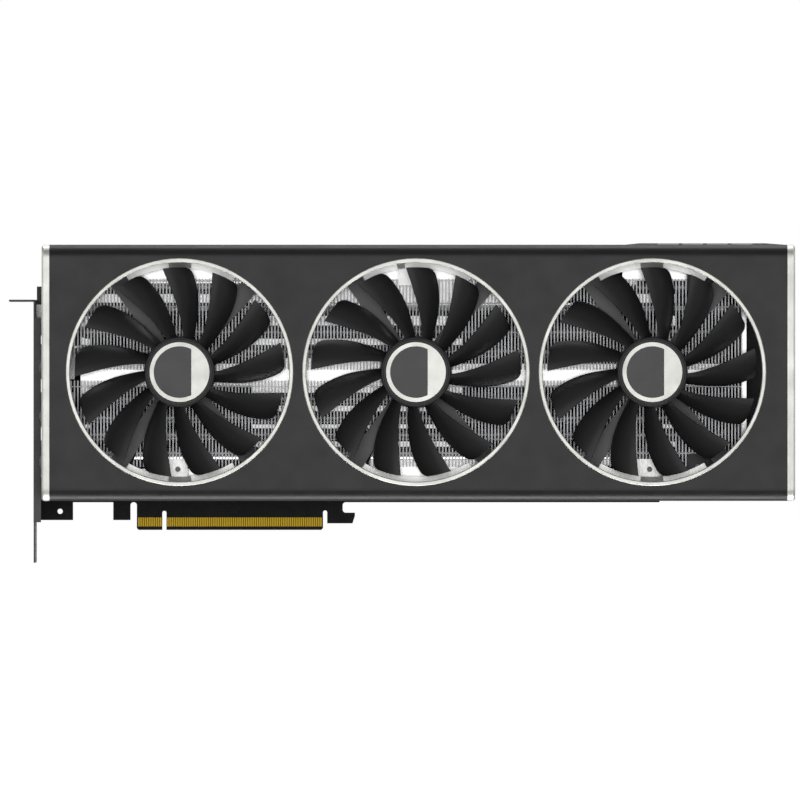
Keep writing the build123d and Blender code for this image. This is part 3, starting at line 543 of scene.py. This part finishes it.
def make_end_shade_strips(materials):
    """Dark strips that close the last gaps of both fin stacks from behind, at the tail: painted
    shade, a dark sheet standing in for the shade in those gaps.
    """
    verts, faces = [], []
    for node in ("fin_stack_upper", "fin_stack_lower"):
        low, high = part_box(node)
        slab(verts, faces, (high.x - SHADE_STRIP_W, high.x), (high.y - SHADE_STRIP_T, high.y), (low.z, high.z))
    new_piece("fin_end_shade_strips", verts, faces, materials["lead_black"], "card",
              smooth_angle=0)


# ---- stage -------------------------------------------------------------------------------------
def soft_light(name, place, aim, size, radiance):
    """A soft box of the given width and height, as bright as radiance all over."""
    light = bpy.data.lights.new(name, "AREA")
    light.shape = "RECTANGLE"
    light.size, light.size_y = size
    light.energy = radiance * math.pi * size[0] * size[1]
    lamp = bpy.data.objects.new(name, light)
    lamp.location = place
    lamp.rotation_euler = (Vector(aim) - Vector(place)).to_track_quat("-Z", "Y").to_euler()
    lamp.visible_camera = False
    bpy.context.scene.collection.objects.link(lamp)


FRONT_BOX, RIM_BOX, FILL_BOX = (2.5, 1.8), (1.9, 0.6), (1.2, 1.2)
FRONT_RADIANCE, TOP_RADIANCE, BOTTOM_RADIANCE, FILL_RADIANCE = 1.3, 2.4, 4.0, 1.0
FRONT_REACH = 2.2
RIM_HEIGHT = 1.1
TOP_BEHIND, BOTTOM_BEHIND = 0.35, 0.1
BACK_RAISE = 0.5
FILL_BEHIND, FILL_RAISE = 0.4, 0.3


def make_lights():
    """Large boxes in front and behind, long strips above and below, and fill at the sides."""
    low, high = (Vector(c) for c in cad_bounds)
    centre = (low + high) / 2
    for name, offset, size, radiance in (
            ("front_box", (0, -FRONT_REACH, 0), FRONT_BOX, FRONT_RADIANCE),
            ("top_strip", (0, TOP_BEHIND, RIM_HEIGHT), RIM_BOX, TOP_RADIANCE),
            ("bottom_strip", (0, BOTTOM_BEHIND, -RIM_HEIGHT), RIM_BOX, BOTTOM_RADIANCE),
            ("back_box", (0, FRONT_REACH, BACK_RAISE), FRONT_BOX, FRONT_RADIANCE),
            ("left_box", (-FRONT_REACH, FILL_BEHIND, FILL_RAISE), FILL_BOX, FILL_RADIANCE),
            ("right_box", (FRONT_REACH, FILL_BEHIND, FILL_RAISE), FILL_BOX, FILL_RADIANCE)):
        soft_light(name, centre + Vector(offset), centre, size, radiance)


FLOOR_DROP = 0.12
FLOOR_REACH = 6.0


def make_stage():
    """A plain white floor under the card, out of its reflections, light and shadows."""
    floor_z = cad_bounds[0][2] - FLOOR_DROP
    mesh = bpy.data.meshes.new("floor")
    corners = ((-1, -1), (1, -1), (1, 1), (-1, 1))
    mesh.from_pydata([(x * FLOOR_REACH, y * FLOOR_REACH, floor_z) for x, y in corners], [],
                     [(0, 1, 2, 3)])
    floor = bpy.data.objects.new("floor", mesh)
    bpy.context.scene.collection.objects.link(floor)
    floor.visible_glossy = False
    floor.visible_diffuse = False
    floor.visible_shadow = False
    s = Shader("floor_white")
    tone = s.mix(s.noise(0.6), (0.93, 0.93, 0.93), (0.96, 0.96, 0.96))
    s.set(Base_Color=tone, Roughness=0.9, Emission_Color=(1, 1, 1), Emission_Strength=0.9)
    mesh.materials.append(s.material)


ROOM_STRENGTH = 0.12


def make_world():
    """White behind everything, and a dim room around what the lights leave dark."""
    world = bpy.data.worlds.new("studio")
    world.use_nodes = True
    tree = world.node_tree
    room = tree.nodes["Background"]
    room.inputs["Color"].default_value = (1, 1, 1, 1)
    room.inputs["Strength"].default_value = ROOM_STRENGTH
    white = tree.nodes.new("ShaderNodeBackground")
    white.inputs["Color"].default_value = (1, 1, 1, 1)
    seen = tree.nodes.new("ShaderNodeLightPath")
    choice = tree.nodes.new("ShaderNodeMixShader")
    tree.links.new(seen.outputs["Is Camera Ray"], choice.inputs[0])
    tree.links.new(room.outputs[0], choice.inputs[1])
    tree.links.new(white.outputs[0], choice.inputs[2])
    tree.links.new(choice.outputs[0], tree.nodes["World Output"].inputs["Surface"])
    bpy.context.scene.world = world


CAMERA_DISTANCE = 9.0
CAMERA_AIM = (0.10783, 0.05945)
LENS, SENSOR = 884.9, 36.0


def make_camera():
    """A long lens square on to the card's front, far enough away to be nearly orthographic."""
    data = bpy.data.cameras.new("camera")
    data.lens = LENS
    data.sensor_width = SENSOR
    data.dof.use_dof = False
    camera = bpy.data.objects.new("camera", data)
    camera.location = (CAMERA_AIM[0], -CAMERA_DISTANCE, CAMERA_AIM[1])
    camera.rotation_euler = (math.radians(90), 0, 0)
    bpy.context.scene.collection.objects.link(camera)
    bpy.context.scene.camera = camera


def main():
    bpy.context.scene.view_settings.view_transform = "Standard"
    make_camera()
    make_stage()
    make_world()
    make_lights()
    materials = make_materials()
    dress_cad(materials)
    make_rotors(materials)
    make_fins(materials, "fin_stack_upper", UPPER_BREAKS, 11)
    make_fins(materials, "fin_stack_lower", LOWER_BREAKS, 12)
    # dark strips of painted shade behind the fins' tail gaps
    make_end_shade_strips(materials)


main()
